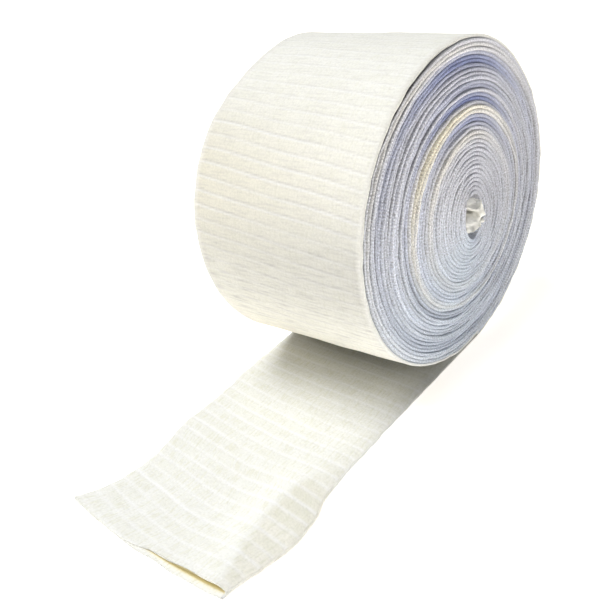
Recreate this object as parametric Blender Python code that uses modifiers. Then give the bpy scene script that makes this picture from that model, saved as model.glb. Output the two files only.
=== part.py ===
"""Tubular compression bandage, lying on its roll with the free end run out.

One knitted tube, pressed flat and wound on itself without a core. The last stretch has come
off the roll and lies on the surface, hollow, with its mouth a little open.

+X is the end of the roll that shows, -Y the way the free end runs, +Z up, in metres. The
origin lies on the surface, where the free end leaves the roll.
"""
import math

import bmesh
import bpy

# The tube as it is sold: width pressed flat, length, and the thickness of one knitted ply
FLAT_WIDTH = 0.0875
TUBE_LENGTH = 10.0
PLY = 0.0007

# The winding: air between turns, size of the eye, and how far the roll has slipped out of true
TURN_GAP = 0.0003
EYE_RADIUS = 0.0088
EYE_SQUEEZE = 0.0020     # how much narrower than round, and taller, the eye is on each side
CONE_RISE = 0.0078       # how far the eye stands out of the near end past the rim
CORE_RISE = 0.0020       # how far the folded start stands out past the turns round it
DRIFT = 0.0020           # how far a band of turns sits in or out of that cone
FAR_LEAN = 0.0073        # how far the far end leans towards the free end

# The free end: length from the line where it leaves the roll, and how far it is puffed open
FREE_LENGTH = 0.180
PLIES_APART = 0.00025    # air between the plies where they lie pressed
PUFF_RISE = 0.0058       # height of the hollow along the puffed edge
LIP = 0.0012             # how far the lower ply reaches past the upper one at the mouth
MOUTH_BOW = 0.0032       # how far the middle of the mouth reaches past its corners

# Facets: corners of a turn, and corners of a turn near the eye
OUTER_CORNERS = 32
INNER_CORNERS = 16
FINE_FROM = 0.020        # radius from which a turn has all its corners
START_CORNER = 6         # corner of a turn, from the foot on, where the folded start begins

BAND = 2 * PLY
PITCH = BAND + TURN_GAP
WOUND_LENGTH = TUBE_LENGTH - FREE_LENGTH
OUTER_RADIUS = math.sqrt(EYE_RADIUS ** 2 + WOUND_LENGTH * PITCH / math.pi)
CORNER_ANGLE = 2 * math.pi / OUTER_CORNERS
LAST_CORNER = -math.pi / 2 + CORNER_ANGLE / 2
AXIS_HEIGHT = PLY + OUTER_RADIUS * math.cos(CORNER_ANGLE / 2)

# How the turns sit in or out of the cone: share of the radius, share of DRIFT
DRIFT_ROWS = (
    (1.00, 0.0),
    (0.985, 0.0),
    (0.962, -1.2),
    (0.940, -0.2),
    (0.885, -0.1),
    (0.862, -0.9),
    (0.820, -0.9),
    (0.795, 0.1),
    (0.720, 0.1),
    (0.698, 0.8),
    (0.672, -0.5),
    (0.640, -0.8),
    (0.612, -0.8),
    (0.598, 0.7),
    (0.560, 0.6),
    (0.530, -0.6),
    (0.490, -0.4),
    (0.450, 0.4),
    (0.400, 0.5),
    (0.360, 0.0),
    (0.00, 0.0),
)

# The start of the tube folded to and fro in the eye, as shares of EYE_RADIUS from its middle:
# back from the free end, and up
CORE_ROWS = (
    (0.50, -0.42),
    (0.06, -0.48),
    (-0.32, -0.42),
    (-0.47, -0.16),
    (-0.28, 0.08),
    (0.18, 0.14),
    (0.44, 0.36),
    (0.30, 0.66),
    (-0.10, 0.74),
    (-0.38, 0.56),
)

# Outline of the free end: share of FREE_LENGTH, edges as shares of half the flat width, and
# the height of its hollow as a share of PUFF_RISE
OUTLINE_ROWS = (
    (0.00, -1.01, 1.00, 0.00),
    (0.30, -1.01, 1.01, 0.06),
    (0.42, -1.00, 1.01, 0.10),
    (0.50, -0.965, 1.02, 0.16),
    (0.62, -0.97, 1.04, 0.30),
    (0.67, -0.965, 1.07, 0.60),
    (0.72, -0.93, 1.14, 0.90),
    (0.79, -0.88, 1.17, 1.00),
    (0.84, -0.89, 1.15, 1.00),
    (0.90, -0.95, 1.10, 0.96),
    (0.95, -1.03, 1.05, 0.90),
    (1.00, -1.17, 1.03, 0.85),
)
HOLLOW_FROM = 0.30       # share of FREE_LENGTH where the plies start to part
LEAN_UNTIL = 0.45        # share of FREE_LENGTH where the lean has faded out

# How the upper ply rises over the width: place from centre to edge, share of the hollow
RISE_COLUMNS = (
    (0.985, 0.42),
    (0.94, 0.72),
    (0.88, 0.94),
    (0.82, 1.00),
    (0.74, 0.97),
    (0.62, 0.78),
    (0.46, 0.50),
    (0.28, 0.24),
    (0.08, 0.06),
    (-0.20, 0.0),
    (-0.60, 0.0),
    (-0.985, 0.0),
)


def between(rows, place, column):
    """Value of a table's column at a place, read straight between its rows."""
    rows = sorted(rows)
    if place <= rows[0][0]:
        return rows[0][column]
    for low, high in zip(rows, rows[1:]):
        if place <= high[0]:
            share = (place - low[0]) / (high[0] - low[0])
            return low[column] + share * (high[column] - low[column])
    return rows[-1][column]


def clear_scene():
    for item in list(bpy.data.objects):
        bpy.data.objects.remove(item, do_unlink=True)


def knit_material(name, colour):
    """Matt knitted cotton and elastic."""
    material = bpy.data.materials.new(name)
    material.use_nodes = True
    shader = material.node_tree.nodes["Principled BSDF"]
    shader.inputs["Base Color"].default_value = (*colour, 1.0)
    shader.inputs["Roughness"].default_value = 0.9
    shader.inputs["Metallic"].default_value = 0.0
    return material


def add_object(name, bm, material, collection):
    mesh = bpy.data.meshes.new(name)
    bm.to_mesh(mesh)
    bm.free()
    item = bpy.data.objects.new(name, mesh)
    collection.objects.link(item)
    mesh.materials.append(material)
    return item


def slip(share):
    """How far a turn at this share of the radius has slipped along the axis."""
    return CONE_RISE * (1 - share) + DRIFT * between(DRIFT_ROWS, share, 1)


def band_path():
    """Mid-line of the wound band from the surface inward: (y, z, slip along the axis)."""
    path = []
    corner = 0
    radius = OUTER_RADIUS
    while radius > EYE_RADIUS or corner % OUTER_CORNERS != START_CORNER:
        angle = LAST_CORNER + corner * CORNER_ANGLE
        squeeze = EYE_SQUEEZE * (OUTER_RADIUS - radius) / (OUTER_RADIUS - EYE_RADIUS)
        y = (radius - squeeze) * math.cos(angle)
        z = AXIS_HEIGHT + (radius + squeeze) * math.sin(angle)
        path.append((y, z, slip(radius / OUTER_RADIUS)))
        fine = radius > FINE_FROM or corner % 2
        corner += 1 if fine else OUTER_CORNERS // INNER_CORNERS
        radius = OUTER_RADIUS - PITCH * corner / OUTER_CORNERS
    for back, up in CORE_ROWS:
        y = EYE_RADIUS * back
        z = AXIS_HEIGHT + EYE_RADIUS * up
        path.append((y, z, slip(0) + CORE_RISE))
    return path


def build_wound_roll(collection):
    """The wound band: its mid-line drawn out over the flat width, then given its two plies."""
    bm = bmesh.new()
    path = band_path()
    near_edge = [bm.verts.new((FLAT_WIDTH / 2 + slipped, y, z)) for y, z, slipped in path]
    lines = [bm.edges.new(pair) for pair in zip(near_edge, near_edge[1:])]
    drawn = bmesh.ops.extrude_edge_only(bm, edges=lines)
    far_edge = [item for item in drawn["geom"] if isinstance(item, bmesh.types.BMVert)]
    bmesh.ops.translate(bm, verts=far_edge, vec=(-FLAT_WIDTH, -FAR_LEAN, 0))
    bmesh.ops.recalc_face_normals(bm, faces=bm.faces)
    roll = add_object("wound_roll", bm, knit_material("wound_knit", (0.86, 0.85, 0.82)), collection)
    plies = roll.modifiers.new("plies", "SOLIDIFY")
    plies.thickness = BAND
    plies.offset = 0
    plies.use_even_offset = True
    return roll


def free_section(along, left, right, lift, inset):
    """One ring round the free end, on its outer skin (inset 0) or its inner one (inset PLY)."""
    middle = (left + right) / 2 * FLAT_WIDTH / 2
    half = (right - left) / 2 * FLAT_WIDTH / 2 - inset
    parted = PLIES_APART * min(1, along / HOLLOW_FROM)
    lip = LIP if along == OUTLINE_ROWS[-1][0] else 0
    edge = RISE_COLUMNS[0][0]
    rise = [BAND + parted + lift * PUFF_RISE * column[1] - inset for column in RISE_COLUMNS]
    ring = [(-edge, inset, 0), (edge, inset, 0), (1, (rise[0] + inset) / 2, lip / 2)]
    ring += [(place, height, lip) for (place, _), height in zip(RISE_COLUMNS, rise)]
    ring += [(-1, (rise[-1] + inset) / 2, lip / 2)]
    lean = FAR_LEAN * max(0, 1 - along / LEAN_UNTIL)
    points = []
    for place, z, back in ring:
        x = middle + half * place
        reach = along * (FREE_LENGTH - MOUTH_BOW * place ** 2)
        y = back - reach - lean * (0.5 - x / FLAT_WIDTH)
        points.append((x, y, z))
    return points


def loft(bm, sections):
    """Skin through rings of equal count; returns the rings of vertices."""
    rings = [[bm.verts.new(point) for point in section] for section in sections]
    for ring, following in zip(rings, rings[1:]):
        join(bm, ring, following)
    return rings


def join(bm, ring, following):
    for here, after in zip(range(len(ring)), list(range(1, len(ring))) + [0]):
        bm.faces.new((ring[here], ring[after], following[after], following[here]))


def build_free_end(collection):
    """The run-out stretch: two plies folded at the edges, with the hollow open at the mouth."""
    bm = bmesh.new()
    last_y, _, _ = band_path()[0]
    cut_lean = PLY * math.sin(CORNER_ANGLE)
    start = -(last_y - cut_lean - TURN_GAP) / FREE_LENGTH
    outer_rows = [(start, *OUTLINE_ROWS[0][1:])] + list(OUTLINE_ROWS[1:])
    inner_rows = [row for row in OUTLINE_ROWS if row[0] >= HOLLOW_FROM]
    outer = loft(bm, [free_section(*row, 0) for row in outer_rows])
    inner = loft(bm, [free_section(*row, PLY) for row in inner_rows])
    bm.faces.new(outer[0])
    bm.faces.new(inner[0])
    join(bm, outer[-1], inner[-1])
    bmesh.ops.recalc_face_normals(bm, faces=bm.faces)
    return add_object("free_end", bm, knit_material("free_knit", (0.90, 0.89, 0.86)), collection)


def main():
    clear_scene()
    collection = bpy.data.collections.new("tubular_compression_bandage")
    bpy.context.scene.collection.children.link(collection)
    build_wound_roll(collection)
    build_free_end(collection)


main()
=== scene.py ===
import math

import bmesh
import bpy
import numpy as np
from mathutils import Matrix, Vector, noise


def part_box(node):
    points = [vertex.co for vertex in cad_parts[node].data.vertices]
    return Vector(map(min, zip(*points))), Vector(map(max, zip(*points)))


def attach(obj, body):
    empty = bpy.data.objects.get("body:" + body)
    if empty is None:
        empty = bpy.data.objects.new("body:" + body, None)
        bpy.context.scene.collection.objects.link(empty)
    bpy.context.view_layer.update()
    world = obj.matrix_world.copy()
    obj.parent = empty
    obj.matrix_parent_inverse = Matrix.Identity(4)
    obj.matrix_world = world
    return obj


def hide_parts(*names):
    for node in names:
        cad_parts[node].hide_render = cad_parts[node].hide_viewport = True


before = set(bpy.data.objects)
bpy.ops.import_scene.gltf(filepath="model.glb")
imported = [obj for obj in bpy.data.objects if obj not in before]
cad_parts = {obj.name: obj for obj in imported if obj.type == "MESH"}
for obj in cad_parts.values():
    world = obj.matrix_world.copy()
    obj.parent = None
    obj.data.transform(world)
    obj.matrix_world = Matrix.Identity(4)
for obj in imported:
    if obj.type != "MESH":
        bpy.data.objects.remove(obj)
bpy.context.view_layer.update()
bpy.ops.object.select_all(action="DESELECT")


# The wound tube
# Ten metres of elastic tubular knit, cotton with laid-in elastane, pressed flat on a calender and
# wound on itself without a core. Only the last turn shows its face; of all others the folded edges
# show, as a cone of soft beads that has slipped out of true.

# The tube as it is sold, in metres: flat width, length, ply, and the stretch that has come off
flat_width = 0.0875
tube_length = 10.0
ply = 0.0007
turn_gap = 0.0003
free_length = 0.180

# How far the roll has slipped out of true: the eye squeezed, sagging and aside, the near end out as
# a cone, the far end leaning and slumped, and the roll bulging at its back and at its top
eye_radius = 0.0088
eye_squeeze = 0.0020
eye_sag = 0.0030
eye_aside = 0.0010
cone_rise = 0.0078
far_lean = 0.0073
far_slump = 0.0024
back_bulge = 0.0029
top_bulge = 0.0014

# How unevenly the turns lie: to and from the middle, in and out, and rippling along each edge
clumping = 0.00018
shuffling = 0.0009
rippling = 0.0005

# The solid's turns have 32 corners, and the folded start begins at the sixth from the foot. Turns
# are numbered from the surface inward, and start_number stands for the folded start.
solid_corners = 32
start_corner = 6
full_turn = 2 * math.pi
pitch = 2 * ply + turn_gap
wound_length = tube_length - free_length
outer_radius = math.sqrt(eye_radius ** 2 + wound_length * pitch / math.pi)
flat_angle = math.pi / solid_corners
end_angle = -math.pi / 2 + flat_angle
axis_height = ply + outer_radius * math.cos(flat_angle)
corners_to_eye = solid_corners * (outer_radius - eye_radius) / pitch
whole_turns = math.ceil((corners_to_eye - start_corner) / solid_corners)
turned_in_all = (whole_turns + start_corner / solid_corners) * full_turn
start_number = whole_turns + 2

# The mesh: angles round the folded edges, columns over the face that shows, sections along the tube
near_angles = (-90, -60, -30, 0, 30, 60, 90)
far_angles = (90, 45, 0, -45, -90)
face_columns = 20
shown_turning = 1.02 * full_turn
shown_spacing = 0.00038
hidden_spacing = 0.0025
coarsest_step = 0.2

# Share of the radius up to which a turn counts as the eye's rim
eye_share = 0.17

# The elastic's ridges and the folded edges' beads
rib_height = 0.00018
rib_wander = 0.0009
bead_depth = 0.00055
wound_rib_spacing = 0.0062
wound_rib_skew = -0.11
wound_rib_sharpness = 45

# Bands of turns as they show at the top of the roll: share of the radius, millimetres that they
# have slipped out, how much painted blue shade their folded edges take, and how cream they look
band_rows = (
    (1.000, -0.5, 0.0, 0.3),
    (0.982, -0.5, 0.0, 0.3),
    (0.970, 0.1, 0.1, 0.2),
    (0.940, 0.0, 0.0, 0.4),
    (0.925, -0.1, 0.0, 0.4),
    (0.912, -0.5, 0.2, 0.1),
    (0.895, -0.7, 0.45, 0.1),
    (0.876, -1.2, 0.8, 0.0),
    (0.858, -1.5, 1.0, 0.0),
    (0.840, -1.2, 0.6, 0.0),
    (0.808, -0.7, 0.35, 0.1),
    (0.785, -0.2, 0.2, 0.1),
    (0.750, 0.2, 0.2, 0.1),
    (0.728, 0.0, 0.4, 0.0),
    (0.712, -0.4, 0.4, 0.0),
    (0.698, 0.3, 0.1, 0.3),
    (0.684, 0.2, 0.2, 0.1),
    (0.670, -0.4, 0.6, 0.0),
    (0.650, -1.0, 1.0, 0.0),
    (0.632, -0.7, 0.8, 0.0),
    (0.610, 0.1, 0.0, 0.5),
    (0.592, 0.7, 0.0, 1.0),
    (0.570, 0.8, 0.0, 0.7),
    (0.552, 0.2, 0.4, 0.0),
    (0.530, -0.5, 0.7, 0.0),
    (0.510, -0.5, 0.4, 0.0),
    (0.485, 0.0, 0.1, 0.1),
    (0.455, 0.5, 0.0, 0.5),
    (0.430, 0.5, 0.0, 0.4),
    (0.400, 0.1, 0.1, 0.1),
    (0.000, 0.0, 0.1, 0.1),
)

# Painted shade in the grooves between turns: how light a closed groove is left, and those painted
# darker: number of the outer turn, how light the groove is left, and the direction of its middle
# and its reach to each side in degrees, 90 being the top
closed_groove = 0.95
open_grooves = (
    (0, 0.02, 128, 52),
    (2, 0.45, 125, 50),
    (4, 0.45, 140, 60),
    (8, 0.60, 130, 60),
    (10, 0.60, 38, 34),
    (12, 0.50, 120, 62),
    (13, 0.50, -68, 50),
    (14, 0.55, 222, 46),
    (18, 0.60, 8, 38),
    (20, 0.60, 86, 44),
    (26, 0.72, 60, 60),
    (31, 0.75, 150, 80),
)

# How much of a groove's painted shade shows at each angle round the folded edge, 0 being its crown
groove_reach = {0: 0.0, 30: 0.16, 45: 0.4, 60: 0.78, 90: 1.0}

# Painted light and shade on the last turn's face, on top of the studio's light: lighter at the top
# and low on the front, darker on the front about and above its middle. And how cream the face is:
# the patch low on the front stands in for warm light bounced up from the table, the one higher up
# on the front is a cream tint of the cloth. For each patch: the direction of its middle, its reach
# in degrees, and its strength at the far and the near end
painted_face_light = (
    (176, 22, -0.10, -0.23),
    (106, 24, 0.05, 0.05),
    (142, 26, -0.12, 0.00),
    (222, 26, 0.03, 0.15),
)
face_cream = (
    (236, 32, 0.85, 0.17),
    (150, 26, 0.70, 0.14),
)

# The start of the tube folded to and fro in the eye: how much it looks like a folded edge, how far
# it stands out of the eye, sections from one bend to the next, and its path from its own middle in
# shares of eye_radius, back and up
core_fold = 0.12
core_rise = 0.0034
core_parts = 8
core_y = -0.8 * eye_aside - 0.0012
core_z = axis_height - 0.8 * eye_sag + 0.0004
core_rows = (
    (0.28, -0.36),
    (0.02, -0.37),
    (-0.26, -0.30),
    (-0.36, -0.08),
    (-0.22, 0.14),
    (0.08, 0.22),
    (0.24, 0.46),
    (0.16, 0.78),
    (-0.10, 0.90),
    (-0.30, 0.74),
)


def read_rows(rows, place, column=1):
    """A table's column at a place, with smooth steps between its rows."""
    rows = sorted(rows)
    places = [row[0] for row in rows]
    place = min(max(place, places[0]), places[-1])
    index = min(max(np.searchsorted(places, place), 1), len(rows) - 1)
    low, high = rows[index - 1], rows[index]
    share = (place - low[0]) / (high[0] - low[0])
    share = share * share * (3 - 2 * share)
    return low[column] + share * (high[column] - low[column])


def hump(degrees, middle, reach):
    """1 in one direction round the roll, and less the farther a direction is from it."""
    apart = (degrees - middle + 180) % 360 - 180
    return math.exp(-(apart / reach) ** 2)


def patches(rows, degrees, value):
    """Sum of a table's patches in one direction, at a place from the far end to the near one."""
    return sum(
        hump(degrees, middle, reach) * (far + (near - far) * value)
        for middle, reach, far, near in rows)


def uneven(x, y, z):
    """Smooth unevenness, about -0.5 to 0.5."""
    return noise.noise(Vector((x, y, z)))


def rib(along, across, spacing, skew, sharpness):
    """A laid-in elastic as a ridge, also used for its painted highlight, the painted shadow in the
    hollow beside it, and how khaki the next panel is.
    """
    wander = rib_wander * uneven(across * 35, along * 25, 3.1)
    phase = (along + across * skew + wander) / spacing
    number = math.floor(phase + 0.5)
    strength = 0.8 + 0.6 * uneven(number * 7.31, across * 18, 0.7)
    ridge = max(0, math.cos(math.pi * (phase - number))) ** sharpness
    furrow = max(0, math.cos(math.pi * (phase - number + 0.14))) ** (1.5 * sharpness)
    panel = 0.45 + 1.9 * uneven(math.floor(phase) * 3.7, across * 105, 5.5)
    return strength * ridge, strength * furrow, min(1, max(0, panel)) * (1 - ridge)


def spiral_station(turned, along):
    """The band's mid-line after turning so far from its end at the foot of the roll inward."""
    radius = outer_radius - pitch * turned / full_turn
    angle = end_angle + turned
    degrees = math.degrees(angle)
    cosine, sine = math.cos(angle), math.sin(angle)
    share = radius / outer_radius
    turn = turned / full_turn
    settled = min(1, turn * 2)

    # Its place in the roll's section, flat at the foot
    squeeze = eye_squeeze * (outer_radius - radius) / (outer_radius - eye_radius)
    bulge = back_bulge * hump(degrees, -12, 40) + top_bulge * hump(degrees, 68, 28)
    bulge *= min(1, share * 2)
    sag = (1 - share) ** 2
    clump = clumping * uneven(turn * 0.9, 2.2 * cosine, 1.5 + 2 * sine)
    reach = radius + bulge + clump * settled
    above_axis = max((reach + squeeze) * sine, -radius * math.cos(flat_angle) - squeeze)

    # How far its edges have slipped along the axis
    drift = read_rows(band_rows, share, 1) * 0.001
    depth = 0.35 + 0.65 * hump(degrees, 86, 75)
    shuffle = shuffling * uneven(turn * 2.3, 1.1 * cosine, 9 + sine)
    shuffle *= min(1, 0.35 + 1.1 * share)
    ripple = rippling * uneven(along * 140, turn * 0.6, 5.0)
    rise = cone_rise * (1 - share)

    # What its folded edges look like
    bead = 1.13 + (0.06 + 0.09 * sine) * (1 - share)
    bead += 0.14 * uneven(turn * 3.1, along * 60, 4.0)
    # Painted shade: turns that sit back in the roll are painted blue, most near the top, and the
    # lower hollow of the eye is painted blue as its shadow
    painted_blue_shade = read_rows(band_rows, share, 2) * (0.12 + 0.88 * hump(degrees, 82, 42))
    eye_shadow = 0.8 * hump(degrees, 272, 40) * max(0, 1 - share / eye_share)
    cream = read_rows(band_rows, share, 3) * (0.25 + 0.75 * hump(degrees, 112, 58))
    tone_and_shade = 0.14 * uneven(turn * 1.9, 0.9 * cosine, 3 + 0.9 * sine)
    tone_and_shade += 0.16 * uneven(turn * 3.3, 1.7 * cosine, 11 + sine)
    tone_and_shade = 1 + tone_and_shade * min(1, 0.3 + 1.2 * share)
    # Painted shade: the end face is darker toward the back of the roll and toward its foot; it is
    # lighter where the folded edges are cream
    tone_and_shade *= 1 - 0.21 * hump(degrees, 2, 54)
    tone_and_shade *= 1 - 0.06 * hump(degrees, 265, 45)
    tone_and_shade *= 1 + 0.20 * cream
    return {
        "y": (reach - squeeze) * cosine - eye_aside * sag,
        "z": axis_height + above_axis - eye_sag * sag,
        "near": rise + (drift * depth + shuffle) * settled + ripple,
        "far": rise + (0.7 * drift - shuffle) * settled - ripple,
        "along": along,
        "reach": share,
        "turn": turn,
        "degrees": degrees,
        "shown": turned < shown_turning,
        "bead": bead,
        "dome": min(1, 0.55 + 0.75 * share),
        "painted_blue_shade": max(painted_blue_shade, eye_shadow),
        "cream": cream,
        # Painted cool light on the folded edges, most low on the roll's end
        "cool": 0.15 + 0.85 * hump(degrees, 246, 70),
        "tone_and_shade": tone_and_shade,
    }


def wound_stations():
    """Mid-line of the band, from its end at the foot of the roll inward to the folded start."""
    stations = []
    turned, along = 0.0, free_length
    while turned < turned_in_all:
        station = spiral_station(turned, along)
        stations.append(station)
        spacing = shown_spacing if station["shown"] else hidden_spacing
        radius = outer_radius - pitch * turned / full_turn
        turned += min(spacing / radius, coarsest_step)
        along += spacing
    last = stations[-1]
    points = [Vector((0, last["y"], last["z"]))]
    for back, up in core_rows:
        points.append(Vector((0, core_y + eye_radius * back, core_z + eye_radius * up)))
    for index in range(len(points) - 1):
        before = points[max(index - 1, 0)]
        here, after = points[index], points[index + 1]
        beyond = points[min(index + 2, len(points) - 1)]
        for part in range(core_parts):
            t = (part + 1) / core_parts
            bent = 0.5 * (
                2 * here + (after - before) * t
                + (2 * before - 5 * here + 4 * after - beyond) * t * t
                + (3 * here - before - 3 * after + beyond) * t ** 3)
            along += (after - here).length / core_parts
            progress = (index + t) / (len(points) - 1)
            swollen = min(1, progress * 4)
            crumple = uneven(along * 230, 0.0, 2.0)
            rise = 0.0002 + core_rise * min(1, progress * 2.5) + 0.0012 * crumple
            stations.append({
                "y": bent.y,
                "z": bent.z,
                "near": cone_rise + rise,
                "far": cone_rise,
                "along": along,
                "reach": 0,
                "turn": start_number,
                "degrees": 90,
                "shown": False,
                "bead": 1 + 1.9 * swollen * (1 + 0.35 * crumple),
                "dome": 1 + 1.6 * swollen,
                "painted_blue_shade": 0.0,
                "cream": 0.2,
                "cool": 0.0,
                # Painted light: the folded start is made lighter against the shade that falls on it
                # in the eye
                "tone_and_shade": 1.14,
            })
    return stations


def groove_shade(number, degrees):
    """How light the painted shade leaves the groove inside a turn, from 0 to 1."""
    shade = closed_groove
    for turn, lightness, middle, reach in open_grooves:
        if turn == number:
            shade -= (closed_groove - lightness) * hump(degrees, middle, reach)
    return shade


def outer_face(station, x, value, look):
    """Gives the look of a point on the face of the last turn, and returns how far it is lifted."""
    degrees, along = station["degrees"], station["along"]
    clear_of_edges = min(1, (0.5 - abs(value - 0.5)) * 14)
    upper = 0.25 + 0.60 * hump(degrees, 150, 36)
    level = along + x * wound_rib_skew
    # Fine grey streaks of the courses, most low on the front; they join the painted shadow beside
    # the ridges
    streak = max(0, uneven(x / 0.009, level / 0.0011, 9.0)) * (0.2 + hump(degrees, 202, 34))
    ridge, furrow, panel = rib(along, x, wound_rib_spacing, wound_rib_skew, wound_rib_sharpness)
    look.update(
        # Cream patches, one of them standing in for warm bounced light, and painted light and shade
        cream=0.10 + patches(face_cream, degrees, value),
        shade=1.03 + patches(painted_face_light, degrees, value),
        rib=ridge * upper,
        furrow=furrow * upper + 1.3 * streak,
        panel=0.2 * panel,
        cool=0.0)
    dents = 0.0006 * uneven(along / 0.034, x / 0.034, 2.0)
    dents += 0.0003 * uneven(along / 0.012, x / 0.012, 6.0)
    return rib_height * ridge * upper * (0.4 + 0.6 * clear_of_edges) + dents * clear_of_edges


def wound_point(station, normal, kind, value):
    """One point of a section: its place, and what its cloth looks like there."""
    bead = ply * station["bead"]
    near_x = flat_width / 2 + station["near"]
    far_x = -flat_width / 2 + station["far"]
    look = {name: station[name] for name in ("painted_blue_shade", "cream", "cool")}
    look.update(fold=1.0, shade=station["tone_and_shade"], rib=0.0, furrow=0.0, panel=0.0, inside=0.0)
    number = int(station["turn"])
    if number == start_number:
        look["fold"] = core_fold
    if kind in ("near", "far"):
        angle = math.radians(value)
        rough = 1 + 0.22 * uneven(station["along"] * 300, value * 0.03, station["turn"])
        lift = bead * math.sin(angle)
        inset = bead_depth * station["bead"] * station["dome"] * (1 - math.cos(angle) * rough)
        x = near_x - inset if kind == "near" else far_x + inset
        around = bead * angle if kind == "near" else flat_width - bead * angle
        groove = groove_shade(number if value < 0 else number - 1, station["degrees"])
        # Painted shade: the flanks of the folded edge are darkened where they meet the groove
        look["shade"] *= 1 - (1 - groove) * groove_reach[abs(value)]
        if number == 0 and value > -60:
            look.update(fold=0.15, shade=1.0)
    else:
        x = far_x + bead + (near_x - far_x - 2 * bead) * value
        lift = ply if kind == "outer" else -ply
        around = near_x - x if kind == "outer" else x - near_x
        look["fold"] = 0.0 if number == 0 and kind == "outer" else look["fold"]
        # Painted light: flat faces round the eye are made lighter against the shade that falls in
        # it; the others are left darker
        look["shade"] = 1.12 if station["reach"] < eye_share else 0.85
        if kind == "outer" and station["shown"]:
            lift += outer_face(station, x, value, look)
    from_near = 1 - {"near": 1, "far": 0}.get(kind, value)
    slump = hump(station["degrees"], 108, 24) * min(1, station["reach"] * 1.5)
    lift -= far_slump * from_near * slump
    lean = far_lean * (near_x - x) / flat_width
    place = Vector((x, station["y"] + normal.y * lift - lean, station["z"] + normal.z * lift))
    look["uv"] = (around, station["along"])
    return place, look


def skin_mesh(name, rings):
    """A closed mesh through rings of points, each a place and what its cloth looks like there."""
    starts = np.cumsum([0] + [len(ring) for ring in rings])
    near_points, far_points = len(near_angles), len(far_angles) + 1
    faces = []
    for index in range(len(rings) - 1):
        here, after = starts[index], starts[index + 1]
        count, following = len(rings[index]), len(rings[index + 1])
        if count == following:
            for spot in range(count):
                turn = (spot + 1) % count
                faces.append((here + spot, here + turn, after + turn, after + spot))
            continue
        for spot in range(near_points - 1):
            faces.append((here + spot, here + spot + 1, after + spot + 1, after + spot))
        fine_end, coarse_end = count - far_points, following - far_points
        wide_edge = [here + spot for spot in range(near_points - 1, fine_end + 1)]
        narrow_edge = [after + spot for spot in range(coarse_end, near_points - 2, -1)]
        faces.append(tuple(wide_edge + narrow_edge))
        for spot in range(far_points):
            one, two = fine_end + spot, (fine_end + spot + 1) % count
            low, high = coarse_end + spot, (coarse_end + spot + 1) % following
            faces.append((here + one, here + two, after + high, after + low))
    faces.append(tuple(range(starts[1] - 1, -1, -1)))
    faces.append(tuple(range(starts[-2], starts[-1])))
    places = [place for ring in rings for place, look in ring]
    looks = [look for ring in rings for place, look in ring]
    mesh = bpy.data.meshes.new(name)
    mesh.from_pydata(places, [], faces)
    mesh.update()
    corners = np.empty(len(mesh.loops), dtype=np.int32)
    mesh.loops.foreach_get("vertex_index", corners)
    flat = np.array([look.pop("uv") for look in looks], dtype=np.float32)
    mesh.uv_layers.new(name="cloth").data.foreach_set("uv", flat[corners].ravel())
    for word in looks[0]:
        layer = mesh.attributes.new(word, "FLOAT", "POINT")
        layer.data.foreach_set("value", np.array([look[word] for look in looks], dtype=np.float32))
    mesh.shade_smooth()
    piece = bpy.data.objects.new(name, mesh)
    bpy.context.scene.collection.objects.link(piece)
    return piece


stations = wound_stations()
rings = []
for index, station in enumerate(stations):
    before = stations[max(index - 1, 0)]
    after = stations[min(index + 1, len(stations) - 1)]
    along_y, along_z = after["y"] - before["y"], after["z"] - before["z"]
    normal = Vector((0, along_z, -along_y)).normalized()
    columns = face_columns if station["shown"] else 1
    spots = [("near", angle) for angle in near_angles]
    spots += [("outer", 1 - (column + 0.5) / columns) for column in range(columns)]
    spots += [("far", angle) for angle in far_angles]
    spots += [("inner", 0.5)]
    rings.append([wound_point(station, normal, kind, value) for kind, value in spots])
wound_tube = skin_mesh("wound_tube", rings)

# The folded start is crumpled: its front is divided finely, pushed about, and given painted shade
# in small patches
front_depth = 0.0030
front_fade = 0.0015
large_creases = 0.0013
small_creases = 0.0008

crumpled = bmesh.new()
crumpled.from_mesh(wound_tube.data)
shade_layer = crumpled.verts.layers.float["shade"]
fold_layer = crumpled.verts.layers.float["fold"]
front_from = flat_width / 2 + cone_rise - front_depth


def in_front(vertex):
    """Whether a vertex is on the front of the folded start, which alone has its value of fold."""
    return abs(vertex[fold_layer] - core_fold) < 0.001 and vertex.co.x > front_from


def crease(place):
    """Smooth unevenness in all three directions at a place, the same in each run."""
    shifts = ((0.0, 0.0, 0.0), (31.7, 0.0, 0.0), (0.0, 57.3, 0.0))
    return Vector([noise.noise(place + Vector(shift)) for shift in shifts])


front_edges = [edge for edge in crumpled.edges if all(in_front(vertex) for vertex in edge.verts)]
bmesh.ops.subdivide_edges(crumpled, edges=front_edges, cuts=2, use_grid_fill=True)
for vertex in [vertex for vertex in crumpled.verts if in_front(vertex)]:
    place = vertex.co.copy()
    fade = min(1, (place.x - front_from) / front_fade)
    creased = large_creases * crease(place * 230) + small_creases * crease(place * 620)
    vertex.co += fade * creased
    # Painted shade in small patches over the crumpled front
    vertex[shade_layer] *= 0.98 + 0.55 * min(0.1, noise.noise(place * 340 + Vector((5, 0, 0))))
crumpled.to_mesh(wound_tube.data)
crumpled.free()

# Its cloth is undyed cotton rib with covered elastic laid in every few courses, knitted and then
# steamed flat: matt and a little hairy, so it has no gloss, only a pale sheen. The elastic shows as
# ridges, with a painted highlight on each and painted shadow beside it, the loops as fine grain.
# The white folded edges are painted a cool lavender, and a paler sky blue low on the roll's end, as
# painted cool light; turns that sit back in the roll are painted blue as their shade, and the
# inside of the mouth is painted gold and glows.

cloth_white = "F5F5F0"
cloth_khaki = "E5E4D2"
# Painted highlight on the ridges, and painted shadow beside them, which also greys the courses
rib_highlight_white = "FFFFFF"
furrow_grey = "C2BFBE"
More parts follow.
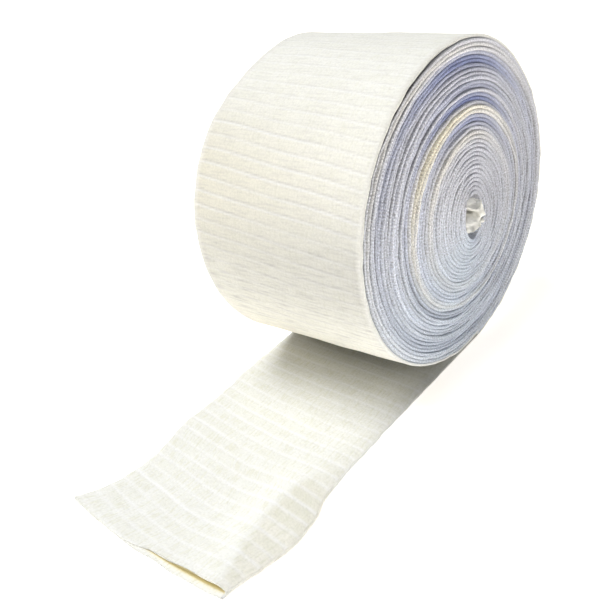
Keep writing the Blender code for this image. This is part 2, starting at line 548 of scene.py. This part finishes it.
# Painted cool light on the folded edges
edge_lavender = "E9E9F3"
edge_sky = "DAE6F5"
# Painted shade of turns that sit back in the roll
blue_shade_colour = "7B88BC"
raised_cream = "FFF5D6"
elastic_brown = "8F8680"
# Painted glow and colour inside the mouth
painted_glow_gold = "D6CA98"

# Unevenness of the knit in metres: across the tube, along it, and how many finer layers. The hair
# and the loops are drawn about twice as coarse as the real ones, which no pixel would show.
knit_sizes = {
    "hair": (0.00095, 0.00095, 3.0),
    "patch": (0.0090, 0.0090, 4.0),
    "wale": (0.0011, 0.0065, 2.0),
    "course": (0.0100, 0.0011, 2.0),
    "elastic": (0.0030, 0.0012, 1.0),
    "edge_hair": (0.00060, 0.00085, 2.0),
}
loop_spacing = 0.0014


def linear(hex_colour):
    """An sRGB hex colour as the linear values that a shader takes."""
    values = []
    for index in (0, 2, 4):
        share = int(hex_colour[index:index + 2], 16) / 255
        values.append(share / 12.92 if share <= 0.04045 else ((share + 0.055) / 1.055) ** 2.4)
    return (*values, 1)


def add_node(tree, kind, settings, inputs):
    """Adds a node with its settings and its inputs; an input given as a socket is linked."""
    node = tree.nodes.new(kind)
    for name, value in settings.items():
        setattr(node, name, value)
    for name, value in inputs.items():
        if isinstance(value, bpy.types.NodeSocket):
            tree.links.new(value, node.inputs[name])
        else:
            node.inputs[name].default_value = value
    return node


def tubular_knit(name, patch_share, course_share):
    """Elastic tubular bandage knit, read from the cloth's own UV in metres and its attributes."""
    material = bpy.data.materials.new(name)
    material.use_nodes = True
    tree = material.node_tree
    shader = tree.nodes["Principled BSDF"]
    shader.inputs["Roughness"].default_value = 0.92
    shader.inputs["Specular IOR Level"].default_value = 0.2
    shader.inputs["Sheen Weight"].default_value = 0.10
    shader.inputs["Sheen Roughness"].default_value = 0.6

    cloth = add_node(tree, "ShaderNodeUVMap", {"uv_map": "cloth"}, {}).outputs["UV"]
    parts = add_node(tree, "ShaderNodeSeparateXYZ", {}, {"Vector": cloth})
    knit = {}
    for word, (across_size, along_size, detail) in knit_sizes.items():
        stretch = {0: cloth, 1: (1 / across_size, 1 / along_size, 1)}
        stretched = add_node(tree, "ShaderNodeVectorMath", {"operation": "MULTIPLY"}, stretch)
        inputs = {"Vector": stretched.outputs[0], "Scale": 1, "Detail": detail, "Roughness": 0.62}
        knit[word] = add_node(tree, "ShaderNodeTexNoise", {}, inputs).outputs["Fac"]
    for word in ("fold", "shade", "rib", "furrow", "panel", "painted_blue_shade", "cream", "cool", "inside"):
        attribute = add_node(tree, "ShaderNodeAttribute", {"attribute_name": word}, {})
        knit[word] = attribute.outputs["Fac"]

    # Loops round the folded edge, as a row of lumps along it, uneven because the yarn is
    phase = add_node(
        tree, "ShaderNodeMath", {"operation": "MULTIPLY_ADD"},
        {0: parts.outputs["Y"], 1: 2 * math.pi / loop_spacing, 2: knit["patch"]})
    wandering = add_node(
        tree, "ShaderNodeMath", {"operation": "MULTIPLY_ADD"},
        {0: knit["edge_hair"], 1: 5.0, 2: phase.outputs[0]})
    loops = add_node(tree, "ShaderNodeMath", {"operation": "SINE"}, {0: wandering.outputs[0]})
    knit["loop"] = loops.outputs[0]
    flank = add_node(tree, "ShaderNodeMath", {"operation": "ABSOLUTE"}, {0: parts.outputs["X"]})
    flank = add_node(
        tree, "ShaderNodeMapRange", {},
        {"Value": flank.outputs[0], "From Min": 0.0002, "From Max": 0.0009})
    speckled = add_node(
        tree, "ShaderNodeMapRange", {},
        {"Value": knit["elastic"], "From Min": 0.50, "From Max": 0.66})
    dashes = add_node(
        tree, "ShaderNodeMath", {"operation": "MULTIPLY"},
        {0: flank.outputs[0], 1: speckled.outputs[0]})
    knit["dash"] = dashes.outputs[0]

    # Each layer: what it follows, from which value to which it comes in, how much, its colour
    flat_layers = (
        ("cream", 0, 1, 0.55, raised_cream),
        ("patch", 0.45, 0.78, 0.5 * patch_share, cloth_khaki),
        ("panel", 0, 1, 0.50, cloth_khaki),
        ("wale", 0.50, 0.64, patch_share, cloth_khaki),
        ("course", 0.48, 0.75, course_share, furrow_grey),
        # Painted shadow beside each ridge, with the courses' grey streaks
        ("furrow", 0, 1, 0.55, furrow_grey),
        # Painted highlight on each ridge
        ("rib", 0, 1, 0.90, rib_highlight_white),
        # Painted gold inside the mouth
        ("inside", 0, 1, 1.00, painted_glow_gold),
    )
    edge_layers = (
        ("cool", 0, 1, 0.80, edge_sky),
        # Painted blue shade
        ("painted_blue_shade", 0, 1, 1.00, blue_shade_colour),
        ("loop", 0.2, -1, 0.14, elastic_brown),
        ("dash", 0, 1, 0.30, elastic_brown),
        ("cream", 0, 1, 0.80, raised_cream),
    )
    mixed = []
    for hex_base, layers in ((cloth_white, flat_layers), (edge_lavender, edge_layers)):
        colour = linear(hex_base)
        for word, low, high, most, hex_colour in layers:
            inputs = {"Value": knit[word], "From Min": low, "From Max": high, "To Max": most}
            share = add_node(tree, "ShaderNodeMapRange", {}, inputs).outputs["Result"]
            inputs = {0: share, 6: colour, 7: linear(hex_colour)}
            colour = add_node(tree, "ShaderNodeMix", {"data_type": "RGBA"}, inputs).outputs[2]
        mixed.append(colour)
    colour = add_node(
        tree, "ShaderNodeMix", {"data_type": "RGBA"},
        {0: knit["fold"], 6: mixed[0], 7: mixed[1]}).outputs[2]

    # Hair breaks the light up, more on the folded edges
    flat_speck = add_node(
        tree, "ShaderNodeMapRange", {},
        {"Value": knit["hair"],
         "From Min": 0.30, "From Max": 0.68, "To Min": 0.91, "To Max": 1.04})
    edge_speck = add_node(
        tree, "ShaderNodeMapRange", {},
        {"Value": knit["edge_hair"],
         "From Min": 0.32, "From Max": 0.66, "To Min": 0.66, "To Max": 1.20})
    speck = add_node(
        tree, "ShaderNodeMix", {},
        {0: knit["fold"], 2: flat_speck.outputs[0], 3: edge_speck.outputs[0]})
    light = add_node(
        tree, "ShaderNodeMath", {"operation": "MULTIPLY"},
        {0: speck.outputs[0], 1: knit["shade"]})
    speckled = add_node(
        tree, "ShaderNodeVectorMath", {"operation": "SCALE"},
        {0: colour, "Scale": light.outputs[0]})
    tree.links.new(speckled.outputs[0], shader.inputs["Base Color"])

    # Inside the mouth the cloth is painted gold and made to glow, as painted light for the light
    # that comes through the cloth
    glow = add_node(
        tree, "ShaderNodeMath", {"operation": "MULTIPLY"},
        {0: knit["inside"], 1: 0.22})
    shader.inputs["Emission Color"].default_value = linear(painted_glow_gold)
    tree.links.new(glow.outputs[0], shader.inputs["Emission Strength"])

    lumps = add_node(
        tree, "ShaderNodeMath", {"operation": "MULTIPLY"},
        {0: knit["loop"], 1: knit["fold"]})
    height = add_node(
        tree, "ShaderNodeMath", {"operation": "MULTIPLY_ADD"},
        {0: lumps.outputs[0], 1: 0.35, 2: knit["hair"]})
    height = add_node(
        tree, "ShaderNodeMath", {"operation": "MULTIPLY_ADD"},
        {0: knit["wale"], 1: 0.6, 2: height.outputs[0]})
    bump = add_node(
        tree, "ShaderNodeBump", {},
        {"Height": height.outputs[0], "Strength": 0.8, "Distance": 0.0004})
    tree.links.new(bump.outputs["Normal"], shader.inputs["Normal"])
    return material


wound_knit = tubular_knit("undyed_elastic_knit_wound_tight", patch_share=0.25, course_share=0.24)
wound_tube.data.materials.append(wound_knit)
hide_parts("wound_roll")
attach(wound_tube, "root")


# The free end
# The stretch that has come off the roll: the same tube, no longer pressed, so its plies part, the
# right edge stands up in a ridge and the cut mouth gapes. The cut has stretched wider than the
# tube.

# Air between the plies, more at the mouth, the ridge's height, how far the lower ply reaches past
# the upper one, and how far the middle of the mouth reaches past its corners
plies_apart = 0.00025
mouth_gap = 0.0002
puff_rise = 0.0050
lip = 0.0029
mouth_bow = 0.0032

# Shares of free_length: where the plies start to part, where the roll's lean has faded out, and
# where the threads at the cut start to stand free
hollow_from = 0.30
lean_until = 0.45
cut_from = 0.985

# How the cloth wanders: its left and right edges, in shares of half the width, and the upper ply
# up and down, broadly and finely
left_wander = 0.016
right_wander = 0.010
broad_softness = 0.0009
fine_softness = 0.0004

# The elastic's ridges
free_rib_spacing = 0.00645
free_rib_skew = 0.036
free_rib_sharpness = 12

# The mesh: columns over and under, up to this share of half the width, and how much of the flat
# cloth goes round each folded edge
top_columns = 52
low_columns = 26
top_edge = 0.985
edge_cloth = 0.001

# Share of free_length, edges as shares of half the width, height as a share of puff_rise, and
# where the ridge runs from the middle (0) to the right edge (1)
outline_rows = (
    (-0.04, -1.01, 1.00, 0.00, 0.80),
    (0.00, -1.01, 1.00, 0.00, 0.80),
    (0.15, -1.01, 1.005, 0.02, 0.80),
    (0.30, -1.01, 1.01, 0.05, 0.80),
    (0.42, -1.00, 1.01, 0.08, 0.80),
    (0.50, -0.965, 1.02, 0.10, 0.80),
    (0.58, -0.965, 1.03, 0.18, 0.79),
    (0.64, -0.975, 1.045, 0.44, 0.76),
    (0.68, -0.96, 1.075, 0.80, 0.72),
    (0.72, -0.93, 1.135, 1.00, 0.67),
    (0.79, -0.88, 1.17, 1.05, 0.63),
    (0.84, -0.885, 1.155, 1.00, 0.68),
    (0.90, -0.945, 1.10, 0.86, 0.77),
    (0.95, -1.03, 1.045, 0.70, 0.87),
    (0.98, -1.11, 1.025, 0.56, 0.90),
    (1.00, -1.17, 1.015, 0.46, 0.92),
)

# The ply's height left of the ridge: how far along from where it starts to rise, share of it
swell_rows = (
    (0.00, 0.00),
    (0.25, 0.05),
    (0.50, 0.26),
    (0.70, 0.58),
    (0.86, 0.86),
    (0.95, 0.97),
    (1.00, 1.00),
)
swell_from = -0.15


def read_smooth(rows, place, column):
    """A table's column at a place, on one smooth curve through its rows."""
    places = [row[0] for row in rows]
    place = min(max(place, places[0]), places[-1])
    index = min(max(int(np.searchsorted(places, place)) - 1, 0), len(rows) - 2)
    span = rows[index + 1][0] - rows[index][0]
    share = (place - rows[index][0]) / span

    def slope(spot):
        low, high = max(spot - 1, 0), min(spot + 1, len(rows) - 1)
        return (rows[high][column] - rows[low][column]) / (rows[high][0] - rows[low][0])

    low, high = rows[index][column], rows[index + 1][column]
    start, stop = slope(index) * span, slope(index + 1) * span
    return (
        (2 * share ** 3 - 3 * share ** 2 + 1) * low
        + (share ** 3 - 2 * share ** 2 + share) * start
        + (3 * share ** 2 - 2 * share ** 3) * high
        + (share ** 3 - share ** 2) * stop)


def open_right(place):
    """0 on the left, where the mouth has stayed shut, to 1 on the right, where it gapes."""
    part = min(1, max(0, (place + 0.15) / 0.35))
    return part * part * (3 - 2 * part)


def hollow_height(place, lift, ridge_place):
    """Height of the upper ply over the lower one: it swells to the ridge and falls straight."""
    rounded = 0.012 * lift / puff_rise
    if place < ridge_place:
        part = max(0, (place - swell_from) / (ridge_place - swell_from))
        return lift * read_smooth(swell_rows, part, 1)
    past = (place - ridge_place) / (1 - ridge_place)
    return lift * (1 - 0.92 * (math.hypot(past, rounded) - rounded))


def free_ring(share, inset):
    """One section of the free end: the outer skin (inset 0) or the inner one (inset ply)."""
    left = read_smooth(outline_rows, share, 1)
    right = read_smooth(outline_rows, share, 2)
    lift = max(0, read_smooth(outline_rows, share, 3)) * puff_rise
    ridge_place = read_smooth(outline_rows, share, 4)
    loose = min(1, max(0, share) * 4)
    left += left_wander * uneven(share * 26, 0.4, 8.0) * loose
    right += right_wander * uneven(share * 30, 2.4, 3.0) * loose
    middle = (left + right) / 4 * flat_width
    half = (right - left) / 4 * flat_width - inset
    lean = far_lean * max(0, 1 - share / lean_until)
    clear = min(1, max(0, (share - 0.06) * 8))
    mouth = max(0, (share - cut_from) / (1 - cut_from))
    along = free_length * (1 - share)
    deep = 0 if inset == 0 else min(1, max(0, (0.989 - share) / 0.005))
    ring = []

    def put(place, z, back, around, fold, ridge=0.0, furrow=0.0, panel=0.0):
        """Adds one point; back is how far the cut leaves it behind the longest thread."""
        x = middle + half * place
        y = -share * (free_length - mouth_bow * place ** 2) - lean * (0.5 - x / flat_width)
        y += (back * open_right(place) + 0.0010 * uneven(x * 70, 5.0, back * 300)) * mouth
        # Painted shadow of the roll where the free end runs under it
        painted_roll_shadow = min(1, max(0, (y + 0.051) / 0.014))
        end_share = min(1, max(0, (share - 0.45) / 0.35))
        past = (place - ridge_place) / 0.05
        facet = min(1, max(0, past)) * min(1, 1.3 * lift / puff_rise) if inset == 0 else 0
        beside = math.exp(-((past + 2.5) / 3.5) ** 2) * (1 - facet)
        beside *= min(1, 1.5 * lift / puff_rise)
        # Painted shade: darker nearer the roll and lighter toward the mouth, darker on the facet
        # past the ridge, and a painted highlight on the slope left of the ridge
        shade = (0.955 + 0.08 * end_share) * (1 - 0.36 * painted_roll_shadow)
        shade *= (1 - 0.04 * facet) * (1 + 0.05 * beside)
        look = {
            "uv": (around, along),
            "fold": fold,
            "shade": shade,
            "rib": 0.6 * ridge,
            "furrow": furrow,
            "panel": panel * (0.28 + 0.50 * facet - 0.20 * beside),
            # Painted blue shade and painted cool light on the folded edges
            "painted_blue_shade": 0.15,
            "cream": 0.4 * facet,
            "cool": 0.4,
            "inside": deep * open_right(place),
        }
        ring.append((Vector((x, y, max(z, 0.0))), look))

    # Heights of the upper ply from the right edge to the left one
    rise = []
    for index in range(top_columns + 1):
        place = 1 - 2 * index / top_columns
        place = math.copysign(abs(place) ** 0.8, place) * top_edge
        x = middle + half * place
        parted = plies_apart * min(1, max(0, share) / hollow_from) * (0.3 + 0.7 * open_right(place))
        parted += mouth_gap * open_right(place) * max(0, (share - 0.93) / 0.07)
        from_edge = half * (1 - abs(place))
        taper = 1 - 0.42 * max(0, 1 - from_edge / 0.0022) ** 2
        height = (2 * ply + parted) * taper + hollow_height(place, lift, ridge_place) - inset
        soft = (0.5 * uneven(along / 0.030, x / 0.030, 4.0) + 0.5) * broad_softness * clear
        soft += (0.5 * uneven(along / 0.011, x / 0.011, 7.0) + 0.5) * fine_softness * clear
        soft *= min(1, from_edge / 0.003) * ((1 - 0.9 * mouth) if inset == 0 else 0.15)
        ridge, furrow, panel = rib(along, x, free_rib_spacing, free_rib_skew, free_rib_sharpness)
        relief = rib_height * ridge * clear if inset == 0 else 0
        rise.append((place, height + soft + relief, ridge * clear, 0.15 * furrow * clear, panel))
    right_z, left_z = rise[0][1], rise[-1][1]

    # Round the section: the lower ply, the right fold, the upper ply and the left fold
    for index in range(low_columns + 1):
        place = -top_edge + 2 * top_edge * index / low_columns
        put(place, inset, 0, flat_width + flat_width / 2 * (1 - place), 0.0)
    # The folded edges take the lavender of the painted cool light, more on the right fold than the
    # left
    for spot, fold in ((30, 0.5), (60, 0.5), (90, 0.35), (120, 0.15), (150, 0.0)):
        angle = math.radians(spot)
        place = top_edge + (1 - top_edge) * math.sin(angle)
        z = inset + (right_z - inset) * (1 - math.cos(angle)) / 2
        put(place, z, lip * spot / 180, edge_cloth * (spot - 180) / 90, fold)
    for place, z, ridge, furrow, panel in rise:
        put(place, z, lip, flat_width / 2 * (1 - place), 0.0, ridge, furrow, panel)
    for spot, fold in ((150, 0.0), (120, 0.0), (90, 0.1), (60, 0.2), (30, 0.3)):
        angle = math.radians(spot)
        place = -top_edge - (1 - top_edge) * math.sin(angle)
        z = inset + (left_z - inset) * (1 - math.cos(angle)) / 2
        put(place, z, lip * spot / 180, flat_width + edge_cloth, fold)
    return ring


# The outer skin from the roll to the mouth, and back along the inner skin to where the plies meet
start = -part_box("free_end")[1].y / free_length
outward = list(np.linspace(start, cut_from, 410)) + list(np.linspace(0.988, 1.0, 5))
inward = [1.0, 0.996, 0.992, 0.988, 0.984] + list(np.linspace(0.978, hollow_from, 80))
free_rings = [free_ring(share, 0.0) for share in outward]
free_rings += [free_ring(share, ply) for share in inward]
free_tube = skin_mesh("free_tube", free_rings)
free_knit = tubular_knit("undyed_elastic_knit_free", patch_share=0.55, course_share=0.10)
free_tube.data.materials.append(free_knit)
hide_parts("free_end")
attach(free_tube, "root")


# Floor, light and camera
# A white acrylic light table whose far edges are turned up, lit from below, one wide soft light
# from high on the left, a dim white room, a cool fill on the roll's end, and the photograph's
# camera.

table_size = 12
edge_height = 0.8

bpy.ops.mesh.primitive_plane_add(size=table_size, location=(0, 0, 0))
floor = bpy.context.active_object
floor.name = "floor"
bpy.ops.object.mode_set(mode="EDIT")
bpy.ops.mesh.select_mode(type="EDGE")
bpy.ops.mesh.select_all(action="SELECT")
bpy.ops.mesh.extrude_edges_move(TRANSFORM_OT_translate={"value": (0, 0, edge_height)})
bpy.ops.object.mode_set(mode="OBJECT")
table_white = bpy.data.materials.new("matt_white_acrylic")
table_white.use_nodes = True
table_shader = table_white.node_tree.nodes["Principled BSDF"]
table_shader.inputs["Base Color"].default_value = linear("FCFBF8")
table_shader.inputs["Roughness"].default_value = 0.95
table_shader.inputs["Specular IOR Level"].default_value = 0.0
table_shader.inputs["Emission Color"].default_value = linear("FFF9F0")
table_shader.inputs["Emission Strength"].default_value = 0.67
floor.data.materials.append(table_white)

world = bpy.data.worlds.new("studio")
bpy.context.scene.world = world
world.use_nodes = True
world.node_tree.nodes["Background"].inputs["Color"].default_value = linear("F6FAFF")
world.node_tree.nodes["Background"].inputs["Strength"].default_value = 0.12

# Each light: name, strength, degrees across, colour, direction in which it shines
lights = (
    ("key_light", 2.74, 32, "FFFFFE", (0.28, 0.12, -0.95)),
    ("fill_light", 0.40, 60, "F1F5FF", (-0.94, 0.10, -0.32)),
)
for name, strength, across, hex_colour, direction in lights:
    light = bpy.data.lights.new(name, "SUN")
    light.energy = strength
    light.angle = math.radians(across)
    light.color = linear(hex_colour)[:3]
    lamp = bpy.data.objects.new(name, light)
    bpy.context.scene.collection.objects.link(lamp)
    lamp.rotation_euler = Vector(direction).to_track_quat("-Z", "Y").to_euler()

camera_azimuth = math.radians(47.109)
camera_height = math.radians(32.216)
camera_roll = math.radians(-11.928)
camera_place = Vector((0.22326, -0.27399, 0.24536))
back = Vector((
    math.sin(camera_azimuth) * math.cos(camera_height),
    -math.cos(camera_azimuth) * math.cos(camera_height),
    math.sin(camera_height)))
camera_data = bpy.data.cameras.new("camera")
camera_data.sensor_width = 36
camera_data.lens = 48.52
camera_data.clip_start = 0.01
camera = bpy.data.objects.new("camera", camera_data)
bpy.context.scene.collection.objects.link(camera)
turned_camera = (-back).to_track_quat("-Z", "Y").to_matrix().to_4x4()
rolled = Matrix.Rotation(camera_roll, 4, "Z")
camera.matrix_world = Matrix.Translation(camera_place) @ turned_camera @ rolled
bpy.context.scene.camera = camera
bpy.context.scene.view_settings.view_transform = "Standard"
